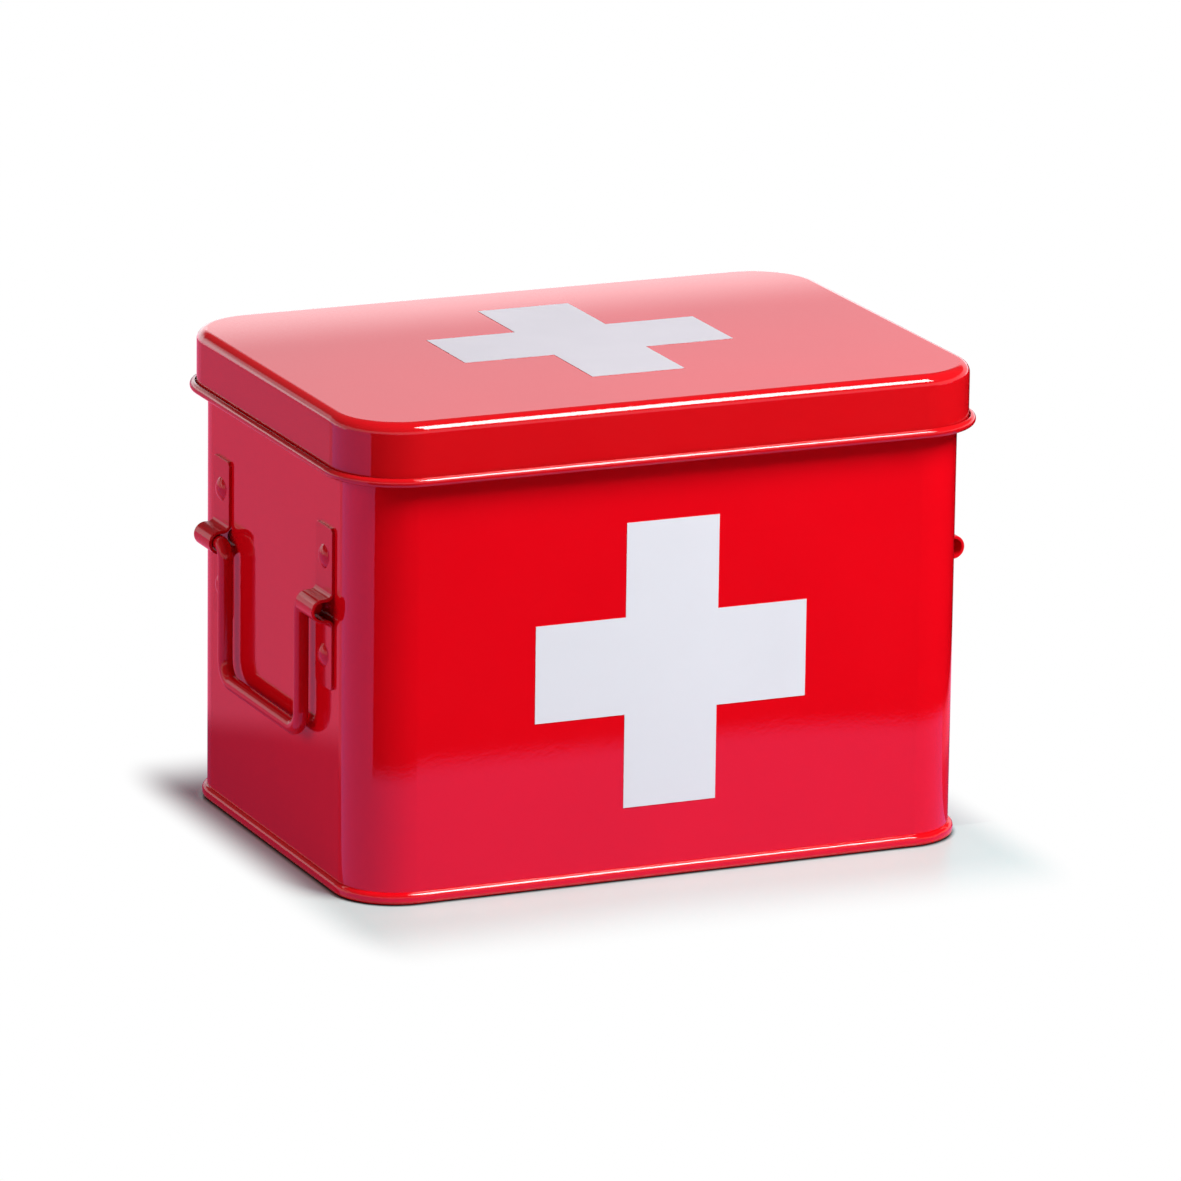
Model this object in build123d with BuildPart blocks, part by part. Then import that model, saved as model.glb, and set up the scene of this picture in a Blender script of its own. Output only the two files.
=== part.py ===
from build123d import *
from math import sqrt
import os

# Metal medicine box: a lift-off lid on a sheet-metal case, with a wire handle at each end.
# All sizes are in millimetres. The origin is the centre of the base, +Z is up,
# the front faces -Y, and the two handles are on the -X (left) and +X (right) ends.

# Case
body_width = 217.0
body_depth = 152.5
body_corner = 19.5
overall_height = 160.9
sheet = 0.5

# Roll along the top edge of the wall, under the lid
rim_roll = 3.0
rim_turn = 300

# Lid
lid_skirt = 20.5
lid_edge = 3.6
lid_play = 0.8
lid_seat = 0.3
hem_height = 2.9
hem_reach = 2.3
hem_close = 100

# Foot seam, where the bottom panel is folded round the wall's lower edge
seam_height = 4.0
seam_fold = 0.325
seam_bend = 0.2
seam_play = 0.05
floor_height = 4.0
floor_bend = 0.5
plate_lip = 2.0

# Handle straps
handle_height = 94.0
strap_spacing = 91.2
strap_width = 14.0
strap_length = 54.0
strap_thickness = 1.0
strap_corner = 1.6
strap_edge = 0.25
loop_flare = 2.0
loop_leg = 1.0
loop_play = 0.5

# Wire bails
wire = 5.0
bail_drop = 45.3
bail_corner = 7.0
bail_bend = 4.5
bail_side_play = 0.3
bail_end_setback = 6.0
bail_end_round = 0.6

# Rivets
rivet_spacing = 33.0
rivet_head = 8.0
rivet_head_height = 1.6
rivet_shank = 3.5
rivet_tail = 6.0
rivet_tail_height = 1.0
rivet_play = 0.05

# Printed crosses
cross_length = 96.0
cross_arm = 32.7
print_thickness = 0.15
front_cross_height = 72.4
lid_cross_x = 2.0
lid_cross_y = 5.8

# Lid, worked out from the wall's roll that it covers
roll_reach = rim_roll - sheet
lid_overhang = roll_reach + lid_play + sheet
lid_width = body_width + 2 * lid_overhang
lid_depth = body_depth + 2 * lid_overhang
lid_corner = body_corner + lid_overhang
lid_inner_edge = lid_edge - sheet
hem_bend = (hem_reach - sheet) / 2

# Foot seam, worked out from the folded hem that it wraps.
# Distances are measured outwards from the wall's outer face.
seam_inside = -(sheet + seam_play)
seam_outside = 2 * seam_fold + sheet + seam_play
shoulder = seam_outside - seam_play
shoulder_height = seam_height - sheet - shoulder
seam_roll = seam_fold + sheet + seam_play
fold_height = sheet + seam_roll

# Straps and bails, worked out from the wire that turns in the loops
loop_hole = wire / 2 + loop_play
loop_half = loop_hole + strap_thickness + loop_flare
pivot_reach = strap_thickness + loop_flare + loop_leg
tab_length = strap_length / 2 - loop_half
strap_inner_side = (strap_spacing - strap_width) / 2
bail_leg = strap_inner_side - bail_side_play - bail_bend
bail_end = (strap_spacing + strap_width) / 2 - bail_end_setback

# Names of the places, each with its direction: the ends along X, the straps along Y, the rivets along Z
SIDES = (("left", -1), ("right", 1))
PLACES = (("front", -1), ("rear", 1))
LEVELS = (("upper", 1), ("lower", -1))

os.makedirs("parts", exist_ok=True)


def save(piece, name):
    """Label a finished piece and write it under its name."""
    piece.label = name
    export_step(piece, f"parts/{name}.step")


def roll_below_lid():
    """Drop from the lid's underside to the rim roll's centre that clears the lid's curved edge."""
    past_curve = lid_inner_edge - rim_roll / 2 - lid_play
    if past_curve <= 0:
        return rim_roll / 2 + lid_seat
    return lid_inner_edge - sqrt((past_curve + lid_play - lid_seat) ** 2 - past_curve ** 2)


def strip_side(start, heading, runs, thickness, side):
    """Draw one side of a bent strip. The side is 1 on the left of its heading and -1 on the right."""
    first = Vector(*start) + Vector(0, side * thickness / 2).rotate(Axis.Z, heading)
    point = first
    for length, turn, inside in runs:
        if length:
            point = PolarLine(point, length, heading) @ 1
        if turn:
            radius = inside if turn * side > 0 else inside + thickness
            tangent = Vector(1, 0).rotate(Axis.Z, heading)
            point = JernArc(point, tangent, radius, turn) @ 1
            heading += turn
    return first, point


def bent_strip(start, heading, runs, thickness):
    """Draw the outline of a bent strip of sheet, seen edge on.

    Start is a point on the middle of the sheet. Each run is a length, then a turn in degrees,
    then the inside radius of that bend.
    """
    left_first, left_last = strip_side(start, heading, runs, thickness, 1)
    right_first, right_last = strip_side(start, heading, runs, thickness, -1)
    Line(left_first, right_first)
    Line(left_last, right_last)


def strip_round_case(width, depth, corner, start, heading, runs):
    """Sweep a bent strip of the case's sheet round a rounded rectangle, from the middle of the rear.

    The strip's section is drawn with X outwards from the rectangle and Y up.
    """
    with BuildLine() as route:
        rear = Line((0, depth / 2), (width / 2 - corner, depth / 2))
        turn = JernArc(rear @ 1, rear % 1, corner, -90)
        for length in (depth, width, depth):
            side = PolarLine(turn @ 1, length - 2 * corner, direction=turn % 1)
            turn = JernArc(side @ 1, side % 1, corner, -90)
        Line(turn @ 1, (0, depth / 2))
    with BuildSketch(Plane((0, depth / 2, 0), x_dir=(0, 1, 0), z_dir=(1, 0, 0))) as section:
        with BuildLine():
            bent_strip(start, heading, runs, sheet)
        make_face()
    sweep(section.sketch, path=route.wire())


def plate_in_case(width, depth, corner, inset, top):
    """Add the flat plate that fills a rounded rectangle up to an inset, with its top at the given height."""
    with BuildSketch(Plane.XY.offset(top - sheet)) as outline:
        RectangleRounded(width - 2 * inset, depth - 2 * inset, corner - inset)
    extrude(outline.sketch, amount=sheet)


def end_plane(side, along=0, height=0):
    """Plane across an end wall's outer face, with X outwards and Y up, at a place along that wall."""
    return Plane((side * body_width / 2, along, height), x_dir=(side, 0, 0), z_dir=(0, -side, 0))


def rivet_points():
    """Centres of the four rivets of one handle, as places along the wall and heights."""
    for _, place in PLACES:
        for _, level in LEVELS:
            yield place * strap_spacing / 2, handle_height + level * rivet_spacing / 2


# Wall of the case, with its folded lower hem and its rolled top edge
roll_height = overall_height - sheet - roll_below_lid()
with BuildPart() as body_shell:
    strip_round_case(
        body_width, body_depth, body_corner,
        start=(2 * seam_fold + sheet / 2, shoulder_height),
        heading=-90,
        runs=(
            (shoulder_height - fold_height, -180, seam_fold),
            (roll_height - fold_height, -rim_turn, rim_roll / 2 - sheet),
        ),
    )
    with BuildSketch(Plane.YZ):
        with Locations(*rivet_points()):
            Circle(rivet_shank / 2 + rivet_play)
    extrude(amount=body_width, both=True, mode=Mode.SUBTRACT)
save(body_shell.part, "body_shell")

# Bottom panel, with its edge folded down inside the wall, under it and up round its hem
plate_inset = sheet - seam_inside + floor_bend + plate_lip
with BuildPart() as bottom_panel:
    strip_round_case(
        body_width, body_depth, body_corner,
        start=(-plate_inset, floor_height - sheet / 2),
        heading=0,
        runs=(
            (plate_lip, -90, floor_bend),
            (floor_height - 2 * sheet - floor_bend - seam_bend, 90, seam_bend),
            (seam_outside - seam_inside - seam_bend - seam_roll, 90, seam_roll),
            (shoulder_height - sheet - seam_roll, 90, shoulder),
        ),
    )
    plate_in_case(body_width, body_depth, body_corner, plate_inset, floor_height)
save(bottom_panel.part, "bottom_panel")

# Lid, with a rounded top edge and an open, slightly flattened outward roll along its lower edge
lid_inset = lid_edge + plate_lip
with BuildPart() as lid_shell:
    strip_round_case(
        lid_width, lid_depth, lid_corner,
        start=(-lid_inset, overall_height - sheet / 2),
        heading=0,
        runs=(
            (plate_lip, -90, lid_inner_edge),
            (lid_skirt - lid_edge - sheet - hem_bend, 180, hem_bend),
            (hem_height - 2 * (hem_bend + sheet), hem_close, hem_bend),
        ),
    )
    plate_in_case(lid_width, lid_depth, lid_corner, lid_inset, overall_height)
save(lid_shell.part, "lid_shell")

# Straps: a flat tab above and below a half-round loop that holds the end of the wire
for side_name, side in SIDES:
    for place_name, place in PLACES:
        with BuildPart() as strap:
            with BuildSketch(end_plane(side, place * strap_spacing / 2, handle_height)):
                with BuildLine():
                    bent_strip(
                        start=(strap_thickness / 2, strap_length / 2),
                        heading=-90,
                        runs=(
                            (tab_length, 90, loop_flare),
                            (loop_leg, -180, loop_hole),
                            (loop_leg, 90, loop_flare),
                            (tab_length, 0, 0),
                        ),
                        thickness=strap_thickness,
                    )
                make_face()
            extrude(amount=strap_width / 2, both=True)
            corners = strap.edges().filter_by(Axis.X).group_by(Axis.Z)
            fillet(corners[0] + corners[-1], strap_corner)
            outer_tab = strap.faces().filter_by(Axis.X).sort_by(Axis((0, 0, 0), (side, 0, 0)))[-1]
            fillet(outer_tab.edges().filter_by(Axis.Z), strap_edge)
            with BuildSketch(Plane.YZ):
                with Locations(*rivet_points()):
                    Circle(rivet_shank / 2 + rivet_play)
            extrude(amount=body_width, both=True, mode=Mode.SUBTRACT)
        save(strap.part, f"{side_name}_{place_name}_strap")

# Bails: one bent wire for each end, hanging from its two turned-out ends
for side_name, side in SIDES:
    pivot_plane = Plane(
        (side * (body_width / 2 + pivot_reach), 0, handle_height), x_dir=(0, 1, 0), z_dir=(1, 0, 0)
    )
    with BuildPart() as bail:
        with BuildLine(pivot_plane) as bail_route:
            FilletPolyline(
                (-bail_end, 0),
                (-bail_leg, 0),
                (-bail_leg, -bail_drop),
                (bail_leg, -bail_drop),
                (bail_leg, 0),
                (bail_end, 0),
                radius=(bail_bend, bail_corner, bail_corner, bail_bend),
            )
        with BuildSketch(Plane(bail_route.line @ 0, z_dir=bail_route.line % 0)):
            Circle(wire / 2)
        sweep()
        tips = bail.faces().filter_by(GeomType.PLANE).edges()
        fillet(tips, bail_end_round)
    save(bail.part, f"{side_name}_bail")

def head_arc(foot, radius, rise):
    """Draw half of a domed head's outline, from its rim to its top on the rivet's axis."""
    sphere = (radius**2 + rise**2) / (2 * rise)
    RadiusArc((foot, radius), (foot + rise, 0), sphere)


# Rivets: a low domed head on the strap, a shank, and a flatter head inside the wall
for side_name, side in SIDES:
    for place_name, place in PLACES:
        for level_name, level in LEVELS:
            rivet_plane = end_plane(
                side, place * strap_spacing / 2, handle_height + level * rivet_spacing / 2
            )
            with BuildPart() as rivet:
                with BuildSketch(rivet_plane) as half_section:
                    with BuildLine():
                        head_arc(strap_thickness, rivet_head / 2, rivet_head_height)
                        head_arc(-sheet, rivet_tail / 2, -rivet_tail_height)
                        Polyline(
                            (strap_thickness, rivet_head / 2),
                            (strap_thickness, rivet_shank / 2),
                            (-sheet, rivet_shank / 2),
                            (-sheet, rivet_tail / 2),
                        )
                        Line((strap_thickness + rivet_head_height, 0), (-sheet - rivet_tail_height, 0))
                    make_face()
                revolve(axis=Axis(rivet_plane.origin, rivet_plane.x_dir))
            save(rivet.part, f"{side_name}_{place_name}_{level_name}_rivet")

# Crosses: thin skins of white print, each made of two equal bars
with BuildPart() as front_cross:
    with BuildSketch(Plane((0, -body_depth / 2, front_cross_height), x_dir=(1, 0, 0), z_dir=(0, -1, 0))):
        Rectangle(cross_length, cross_arm)
        Rectangle(cross_arm, cross_length)
    extrude(amount=print_thickness)
save(front_cross.part, "front_cross")

with BuildPart() as lid_cross:
    with BuildSketch(Plane((lid_cross_x, lid_cross_y, overall_height))):
        Rectangle(cross_length, cross_arm)
        Rectangle(cross_arm, cross_length)
    extrude(amount=print_thickness)
save(lid_cross.part, "lid_cross")
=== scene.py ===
"""Looks for the red metal medicine box: enamel, print, a pale floor, studio light and the camera."""
import math

import bpy
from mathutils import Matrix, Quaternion, Vector


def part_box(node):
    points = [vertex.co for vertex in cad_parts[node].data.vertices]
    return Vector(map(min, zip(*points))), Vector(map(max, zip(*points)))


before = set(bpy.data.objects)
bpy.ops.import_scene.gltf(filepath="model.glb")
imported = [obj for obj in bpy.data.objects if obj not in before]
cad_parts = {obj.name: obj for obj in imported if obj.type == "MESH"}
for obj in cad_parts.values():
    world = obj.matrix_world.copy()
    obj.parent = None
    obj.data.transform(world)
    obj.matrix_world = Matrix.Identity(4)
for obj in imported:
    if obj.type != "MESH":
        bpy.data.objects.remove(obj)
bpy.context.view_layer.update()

# Camera, in metres and degrees, with its sensor and lens in millimetres: it looks at the front and the left
# wall of the box from a little above.
CAMERA_AIM = Vector((0.00345, -0.00226, 0.07689))
CAMERA_DISTANCE = 3.0408
CAMERA_AZIMUTH = -23.660
CAMERA_ELEVATION = 15.335
CAMERA_ROLL = 0.764
CAMERA_SENSOR = 36.0
CAMERA_LENS = 279.2

# Colours, linear. The floor's own colour leans to cyan, so that the red light from the box leaves it grey.
RED = (0.72, 0.0015, 0.0070)
# Painted shade: the lid's red is the case's red made darker, so that the lid's wall and top look shaded.
LID_RED_PAINTED_SHADE = (0.59, 0.0035, 0.0070)
# Painted shade: the handles' red is the case's red made darker, so that the straps, bails and rivets look
# shaded.
HANDLE_RED_PAINTED_SHADE = (0.64, 0.0020, 0.0080)
PRINT_WHITE = (0.69, 0.66, 0.72)
# Painted shade: the lid cross's white is the front cross's white made darker, so that under the light from
# above it looks no brighter than the front cross.
LID_PRINT_WHITE_PAINTED_SHADE = (0.56, 0.54, 0.59)
FLOOR_COLOUR = (0.54, 0.67, 0.67)
WHITE = (1.0, 1.0, 1.0)
BLACK = (0.0, 0.0, 0.0)

# Paint: its refraction, how finely its tone and its gloss vary, the range that noise mostly stays within,
# and the size and depth of each kind of orange peel in metres.
PAINT_IOR = 1.5
TONE_SCALE = 22.0
GLOSS_SCALE = 60.0
NOISE_RANGE = (0.3, 0.7)
ENAMEL_PEEL = (0.0012, 0.000012)
HANDLE_PEEL = (0.0008, 0.000006)
PRINT_PEEL = (0.0006, 0.000003)

# The room: the angle in degrees at which its white backdrop gives way to the ceiling, half the width of that
# soft edge, the ceiling's brightness, and the even light that falls on things.
BACKDROP_TOP = 18.5
BACKDROP_BLUR = 3.0
CEILING_LEVEL = 0.10
ROOM_LIGHT = 0.10

# Lamps, in degrees and metres. A radiance of 1 is white.
KEY_LAMP = dict(azimuth=31.8, elevation=50.0, distance=1.2, width=0.45, height=0.60, radiance=24.7)
LEFT_LAMP = dict(azimuth=-98.0, elevation=20.0, distance=1.5, width=0.80, height=0.80, radiance=3.7)

# Floor, with lengths in metres: its size and roughness, the corner radius of the case's foot, and the
# distances from the foot over which the painted contact shadow there, a thin black band along the foot,
# ends. The grey turns white over the two fades, sideways and in depth, and reaches further in front of the
# case than behind it by twice the shift.
FLOOR_SIZE = 24.0
FLOOR_ROUGHNESS = 0.30
FOOT_RADIUS = 0.0212
FOOT_PAINTED_SHADOW = (-0.0010, 0.0016)
FADE_SIDE = 0.021
FADE_DEPTH = 0.050
FADE_SHIFT = 0.014

# What glossy paint mirrors in place of the plain backdrop and floor, and the distances from the foot over
# which the floor's mirrored colour starts.
MIRRORED_BACKDROP = (0.98, 0.92, 1.0)
MIRRORED_FLOOR = (0.45, 0.32, 0.95)
MIRRORED_FADE = (0.000, 0.005)

# Cards just above the floor, for reflections alone. In metres: their heights, their corners and the
# distances from the foot over which they start. The rear card's colour also changes with that distance.
REAR_CARD_HEIGHT = 0.0001
REAR_CARD_CORNERS = ((-0.112, -0.06), (5.0, -0.06), (5.0, 5.0), (-3.48, 5.0))
REAR_CARD_FADE = (0.0, 0.002)
REAR_CARD_CHANGE = (0.06, 0.10)
REAR_CARD_COLOURS = ((0.30, 0.06, 0.16), (1.05, 0.22, 0.43))
FRONT_CARD_HEIGHT = 0.0002
FRONT_CARD_CORNERS = (
    (-0.17, -0.10),
    (-2.8, -1.45),
    (-2.8, -4.0),
    (5.0, -4.0),
    (5.0, 5.0),
    (0.12, 5.0),
    (0.12, -0.10),
)
FRONT_CARD_FADE = (0.128, 0.158)

# An upright strip of light behind the lid, for reflections alone: it whitens the rear of the lid's top. In
# metres: its place, half its width, its heights and the heights over which it fades. Then its brightness.
STRIP_PLACE = 0.112
STRIP_HALF_WIDTH = 0.6
STRIP_HEIGHTS = (0.150, 0.200)
STRIP_FADE = (0.166, 0.184)
STRIP_LEVEL = 1.2


def node(tree, kind, **settings):
    made = tree.nodes.new(kind)
    for name, value in settings.items():
        setattr(made, name, value)
    return made


def link(tree, source, target):
    tree.links.new(source, target)


def new_material(name):
    material = bpy.data.materials.new(name)
    material.use_nodes = True
    tree = material.node_tree
    shader = tree.nodes["Principled BSDF"]
    return material, tree, shader


def noise(tree, coordinates, scale, detail=2.0):
    texture = node(tree, "ShaderNodeTexNoise")
    texture.inputs["Scale"].default_value = scale
    texture.inputs["Detail"].default_value = detail
    link(tree, coordinates, texture.inputs["Vector"])
    return texture.outputs["Fac"]


def map_range(tree, value, source, target, **settings):
    """Maps the value from the source's two ends to the target's."""
    ranged = node(tree, "ShaderNodeMapRange", **settings)
    for socket, end in zip(("From Min", "From Max", "To Min", "To Max"), (*source, *target)):
        ranged.inputs[socket].default_value = end
    link(tree, value, ranged.inputs["Value"])
    return ranged.outputs["Result"]


def smooth_step(tree, value, source, target=(0.0, 1.0)):
    """Goes softly from the target's first end to its second as the value crosses the source."""
    return map_range(tree, value, source, target, interpolation_type="SMOOTHSTEP")


def combined(tree, operation, first, second):
    """One number worked out from two."""
    result = node(tree, "ShaderNodeMath", operation=operation)
    link(tree, first, result.inputs[0])
    link(tree, second, result.inputs[1])
    return result.outputs["Value"]


def vector_math(tree, operation, vector, fixed=(0.0, 0.0, 0.0)):
    """A vector worked out from another one and a fixed one."""
    result = node(tree, "ShaderNodeVectorMath", operation=operation)
    result.inputs[1].default_value = fixed
    link(tree, vector, result.inputs[0])
    return result.outputs["Vector"]


def length_of(tree, vector):
    length = node(tree, "ShaderNodeVectorMath", operation="LENGTH")
    link(tree, vector, length.inputs[0])
    return length.outputs["Value"]


def height_of(tree, vector):
    split = node(tree, "ShaderNodeSeparateXYZ")
    link(tree, vector, split.inputs["Vector"])
    return split.outputs["Z"]


def blended(tree, share, first, second):
    """Goes from the first colour to the second with the share."""
    blend = node(tree, "ShaderNodeMix", data_type="RGBA")
    blend.inputs["A"].default_value = (*first, 1.0)
    blend.inputs["B"].default_value = (*second, 1.0)
    link(tree, share, blend.inputs["Factor"])
    return blend.outputs["Result"]


def mixed(tree, share, first, second):
    """Goes from the first surface to the second with the share."""
    mix = node(tree, "ShaderNodeMixShader")
    link(tree, share, mix.inputs["Fac"])
    link(tree, first, mix.inputs[1])
    link(tree, second, mix.inputs[2])
    return mix.outputs["Shader"]


def emission(tree, colour):
    glow = node(tree, "ShaderNodeEmission")
    glow.inputs["Color"].default_value = (*colour, 1.0)
    return glow


def shade_of(colour, factor):
    return [channel * factor for channel in colour]


def orange_peel(tree, place, size, depth):
    """The slope of fine dimples in the paint."""
    bump = node(tree, "ShaderNodeBump")
    bump.inputs["Distance"].default_value = depth
    link(tree, noise(tree, place, 1.0 / size, detail=1.0), bump.inputs["Height"])
    return bump.outputs["Normal"]


def painted(name, colour, roughness, peel, tone, shine=0.5):
    """Paint whose tone changes slowly, with uneven gloss and orange peel."""
    material, tree, shader = new_material(name)
    place = node(tree, "ShaderNodeTexCoord").outputs["Object"]
    cloud = map_range(tree, noise(tree, place, TONE_SCALE), NOISE_RANGE, (0.0, 1.0))
    toned = blended(tree, cloud, shade_of(colour, 1.0 - tone), shade_of(colour, 1.0 + tone))
    link(tree, toned, shader.inputs["Base Color"])
    uneven = map_range(tree, noise(tree, place, GLOSS_SCALE), NOISE_RANGE, roughness)
    link(tree, uneven, shader.inputs["Roughness"])
    link(tree, orange_peel(tree, place, *peel), shader.inputs["Normal"])
    shader.inputs["IOR"].default_value = PAINT_IOR
    shader.inputs["Specular IOR Level"].default_value = shine
    return material


def case_enamel():
    return painted("case_enamel", RED, roughness=(0.035, 0.055), peel=ENAMEL_PEEL, tone=0.02)


# The lid's enamel: the case's paint in a darker red, which paints shade on the lid.
def lid_enamel_painted_shade():
    return painted("lid_enamel_painted_shade", LID_RED_PAINTED_SHADE, roughness=(0.05, 0.08), peel=ENAMEL_PEEL, tone=0.02)


# The handles' enamel: the case's paint in a darker red, which paints shade on the straps, bails and rivets.
def handle_enamel():
    return painted(
        "handle_enamel", HANDLE_RED_PAINTED_SHADE, roughness=(0.07, 0.11), peel=HANDLE_PEEL, tone=0.02, shine=0.4
    )


def white_print(name, colour):
    return painted(name, colour, roughness=(0.34, 0.42), peel=PRINT_PEEL, tone=0.01, shine=0.25)


def give_material(names, material):
    for name in names:
        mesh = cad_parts[name].data
        for index in range(len(mesh.materials)):
            mesh.materials[index] = material
        if not mesh.materials:
            mesh.materials.append(material)


def direction(azimuth, elevation):
    """The unit vector towards a lamp or camera. Azimuth 0 is in front of the box and 90 at its right."""
    turn = math.radians(azimuth)
    rise = math.radians(elevation)
    return Vector((math.sin(turn) * math.cos(rise), -math.cos(turn) * math.cos(rise), math.sin(rise)))


def face_the_case(obj, azimuth, elevation, distance, roll=0.0):
    """Sets a camera or lamp at its place and turns it to where the camera looks."""
    towards = direction(azimuth, elevation)
    obj.location = CAMERA_AIM + towards * distance
    obj.rotation_mode = "QUATERNION"
    rolled = Quaternion((0.0, 0.0, 1.0), math.radians(roll))
    obj.rotation_quaternion = (-towards).to_track_quat("-Z", "Y") @ rolled


def add_camera():
    camera = bpy.data.objects.new("camera", bpy.data.cameras.new("camera"))
    bpy.context.scene.collection.objects.link(camera)
    face_the_case(camera, CAMERA_AZIMUTH, CAMERA_ELEVATION, CAMERA_DISTANCE, CAMERA_ROLL)
    camera.data.sensor_width = CAMERA_SENSOR
    camera.data.lens = CAMERA_LENS
    bpy.context.scene.camera = camera


def add_lamp(name, azimuth, elevation, distance, width, height, radiance, mirrored=True):
    """A soft box that faces the case. Its radiance is what a mirror would show, where it is mirrored."""
    lamp = bpy.data.lights.new(name, "AREA")
    lamp.shape = "RECTANGLE"
    lamp.size = width
    lamp.size_y = height
    lamp.energy = radiance * math.pi * width * height
    obj = bpy.data.objects.new(name, lamp)
    bpy.context.scene.collection.objects.link(obj)
    obj.visible_glossy = mirrored
    face_the_case(obj, azimuth, elevation, distance)


def seen_directly(tree):
    """1 for the rays of the camera, of reflections and of glass, and 0 for light that falls on things."""
    path = node(tree, "ShaderNodeLightPath")
    seen = path.outputs["Is Camera Ray"]
    for ray in ("Is Glossy Ray", "Is Transmission Ray"):
        seen = combined(tree, "MAXIMUM", seen, path.outputs[ray])
    return seen


def in_reflections(tree):
    """1 for the rays of reflections, and 0 for all others."""
    return node(tree, "ShaderNodeLightPath").outputs["Is Glossy Ray"]


def set_world():
    """A white backdrop under a dim ceiling is what is seen, while a dim, even light falls on things."""
    world = bpy.data.worlds.new("room")
    bpy.context.scene.world = world
    world.use_nodes = True
    tree = world.node_tree
    background = tree.nodes["Background"]
    height = height_of(tree, node(tree, "ShaderNodeTexCoord").outputs["Generated"])
    edge = [math.sin(math.radians(BACKDROP_TOP + blur)) for blur in (-BACKDROP_BLUR, BACKDROP_BLUR)]
    level = smooth_step(tree, height, edge, (1.0, CEILING_LEVEL))
    strength = node(tree, "ShaderNodeMapRange")
    strength.inputs["To Min"].default_value = ROOM_LIGHT
    link(tree, level, strength.inputs["To Max"])
    link(tree, seen_directly(tree), strength.inputs["Value"])
    link(tree, strength.outputs["Result"], background.inputs["Strength"])
    link(tree, blended(tree, in_reflections(tree), WHITE, MIRRORED_BACKDROP), background.inputs["Color"])


def sheet(name, corners):
    """A flat stage piece with the given corners."""
    mesh = bpy.data.meshes.new(name)
    mesh.from_pydata(corners, [], [tuple(range(len(corners)))])
    obj = bpy.data.objects.new(name, mesh)
    bpy.context.scene.collection.objects.link(obj)
    return obj


def reflections_only(obj):
    obj.visible_camera = False
    obj.visible_shadow = False
    obj.visible_diffuse = False
    obj.visible_transmission = False


def dress(obj, material, surface):
    """Gives a stage piece the material, with the surface as what it shows."""
    tree = material.node_tree
    link(tree, surface, tree.nodes["Material Output"].inputs["Surface"])
    obj.data.materials.append(material)


def offsets_from_foot(tree, inset=0.0, shift=0.0):
    """How far a point of the floor lies outside the foot's outline, along x and y.

    The outline can be inset on all sides and shifted to the front.
    """
    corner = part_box("bottom_panel")[1]
    place = node(tree, "ShaderNodeNewGeometry").outputs["Position"]
    shifted = vector_math(tree, "ADD", place, (0.0, shift, 0.0))
    from_middle = vector_math(tree, "ABSOLUTE", shifted)
    outside = vector_math(tree, "SUBTRACT", from_middle, (corner.x - inset, corner.y - inset, 0.0))
    return vector_math(tree, "MAXIMUM", outside, (0.0, 0.0, 0.0))


def distance_from_foot(tree):
    """The distance of a point of the floor from the foot's rounded outline, in metres."""
    distance = node(tree, "ShaderNodeMath", operation="SUBTRACT")
    distance.inputs[1].default_value = FOOT_RADIUS
    link(tree, length_of(tree, offsets_from_foot(tree, inset=FOOT_RADIUS)), distance.inputs[0])
    return distance.outputs["Value"]


def white_further_off(tree, surface):
    """The surface, turned white further off for what sees it. The light on things stays the same."""
    offsets = offsets_from_foot(tree, shift=FADE_SHIFT)
    shares = vector_math(tree, "MULTIPLY", offsets, (1.0 / FADE_SIDE, 1.0 / FADE_DEPTH, 0.0))
    fade = smooth_step(tree, length_of(tree, shares), (0.0, 1.0))
    white = emission(tree, WHITE).outputs["Emission"]
    return mixed(tree, combined(tree, "MULTIPLY", fade, seen_directly(tree)), surface, white)


def cooler_in_reflections(tree, distance, surface):
    """The surface for the eye, and the mirrored colour for glossy paint."""
    share = combined(tree, "MULTIPLY", smooth_step(tree, distance, MIRRORED_FADE), in_reflections(tree))
    return mixed(tree, share, surface, emission(tree, MIRRORED_FLOOR).outputs["Emission"])


def add_floor():
    """Grey and shaded round the case, white further off, and cooler where glossy paint mirrors it.

    A thin black band along the case's foot is a painted contact shadow.
    """
    half = FLOOR_SIZE / 2
    floor = sheet("floor", ((-half, -half, 0.0), (half, -half, 0.0), (half, half, 0.0), (-half, half, 0.0)))
    material, tree, shader = new_material("floor")
    distance = distance_from_foot(tree)
    # Painted contact shadow: the floor's colour turns black in a thin band along the case's foot.
    painted_shadow_share = smooth_step(tree, distance, FOOT_PAINTED_SHADOW)
    link(tree, blended(tree, painted_shadow_share, BLACK, FLOOR_COLOUR), shader.inputs["Base Color"])
    shader.inputs["Roughness"].default_value = FLOOR_ROUGHNESS
    whitened = white_further_off(tree, shader.outputs["BSDF"])
    dress(floor, material, cooler_in_reflections(tree, distance, whitened))


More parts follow.
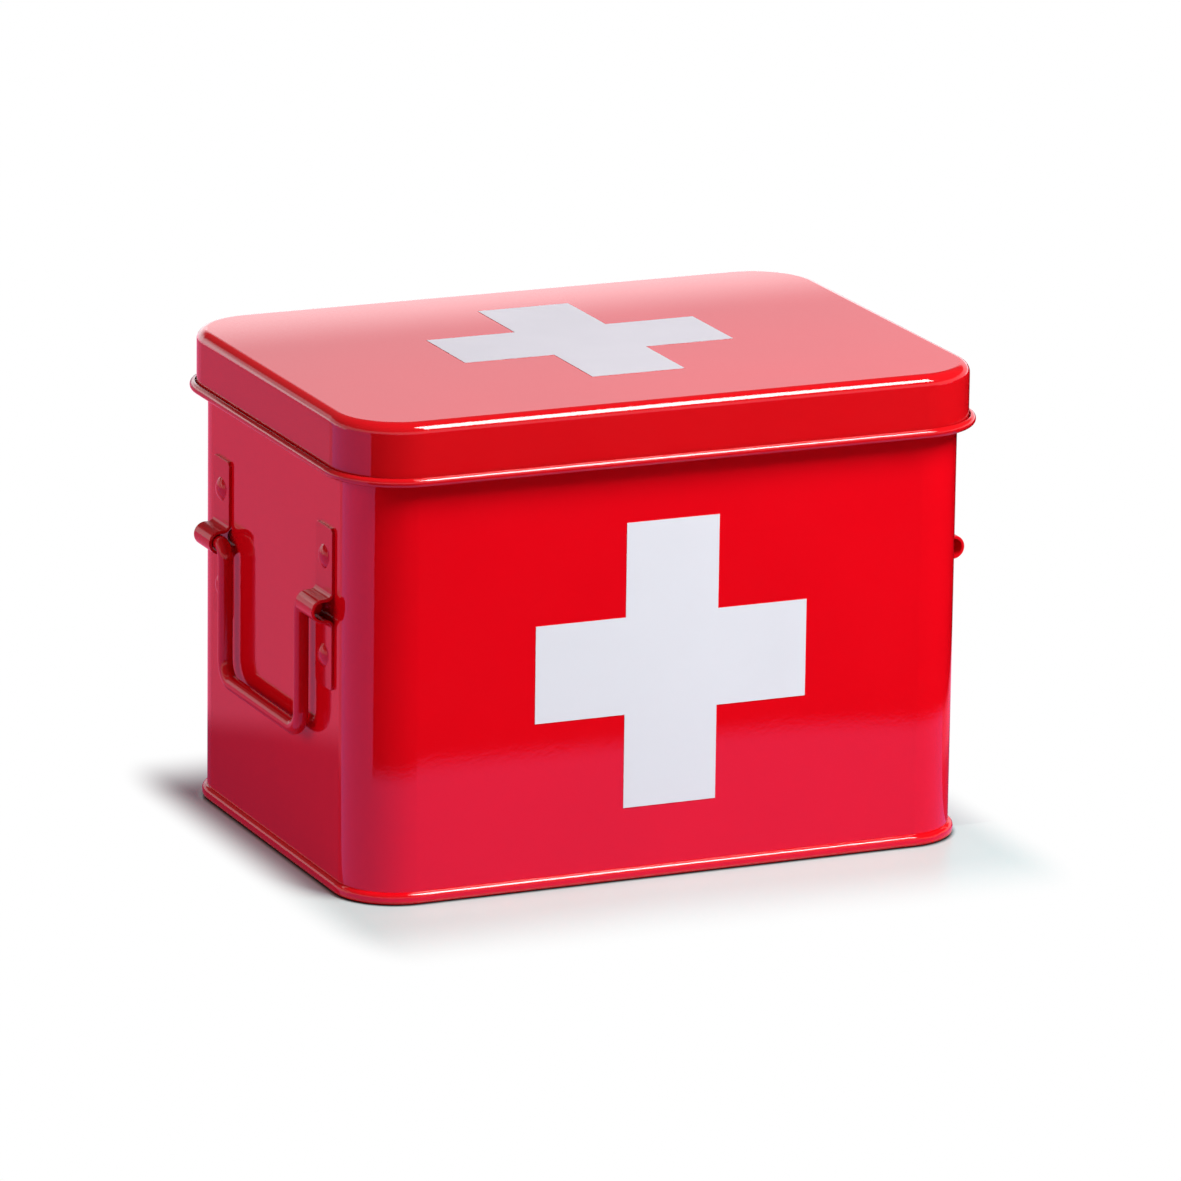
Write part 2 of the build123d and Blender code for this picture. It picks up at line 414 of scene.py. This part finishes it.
def add_card(name, height, corners, fade):
    """A black card that starts softly. Returns what another colour needs: tree, distance and emission."""
    card = sheet(name, [(*corner, height) for corner in corners])
    reflections_only(card)
    material, tree, shader = new_material(name)
    tree.nodes.remove(shader)
    distance = distance_from_foot(tree)
    glow = emission(tree, BLACK)
    clear = node(tree, "ShaderNodeBsdfTransparent")
    share = smooth_step(tree, distance, fade)
    dress(card, material, mixed(tree, share, clear.outputs["BSDF"], glow.outputs["Emission"]))
    return tree, distance, glow


def add_rear_card():
    """Pink, and brighter further off: the left wall and the back of the box mirror it."""
    tree, distance, glow = add_card("rear_card", REAR_CARD_HEIGHT, REAR_CARD_CORNERS, REAR_CARD_FADE)
    change = smooth_step(tree, distance, REAR_CARD_CHANGE)
    link(tree, blended(tree, change, *REAR_CARD_COLOURS), glow.inputs["Color"])


def add_front_card():
    """Black: the front and the right wall of the box mirror it."""
    add_card("front_card", FRONT_CARD_HEIGHT, FRONT_CARD_CORNERS, FRONT_CARD_FADE)


def add_strip():
    """An upright strip that adds its light to what lies behind it, most along its lower edge."""
    low, high = STRIP_HEIGHTS
    side = STRIP_HALF_WIDTH
    back = STRIP_PLACE
    strip = sheet("strip", ((-side, back, low), (side, back, low), (side, back, high), (-side, back, high)))
    reflections_only(strip)
    material, tree, shader = new_material("strip")
    tree.nodes.remove(shader)
    height = height_of(tree, node(tree, "ShaderNodeNewGeometry").outputs["Position"])
    glow = emission(tree, WHITE)
    link(tree, smooth_step(tree, height, STRIP_FADE, (STRIP_LEVEL, 0.0)), glow.inputs["Strength"])
    clear = node(tree, "ShaderNodeBsdfTransparent")
    both = node(tree, "ShaderNodeAddShader")
    link(tree, clear.outputs["BSDF"], both.inputs[0])
    link(tree, glow.outputs["Emission"], both.inputs[1])
    dress(strip, material, both.outputs["Shader"])


handles = [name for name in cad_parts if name.endswith(("strap", "bail", "rivet"))]
give_material(["body_shell", "bottom_panel"], case_enamel())
# The lid gets the darker enamel, with its painted shade.
give_material(["lid_shell"], lid_enamel_painted_shade())
# The straps, bails and rivets get the darker enamel, with its painted shade.
give_material(handles, handle_enamel())
give_material(["front_cross"], white_print("white_print", PRINT_WHITE))
# The lid's cross gets the darker print, with its painted shade.
give_material(["lid_cross"], white_print("lid_print_painted_shade", LID_PRINT_WHITE_PAINTED_SHADE))

add_camera()
set_world()
add_floor()
add_rear_card()
add_front_card()
add_strip()
add_lamp("key", **KEY_LAMP)
add_lamp("left_fill", **LEFT_LAMP, mirrored=False)
bpy.context.scene.view_settings.view_transform = "Standard"
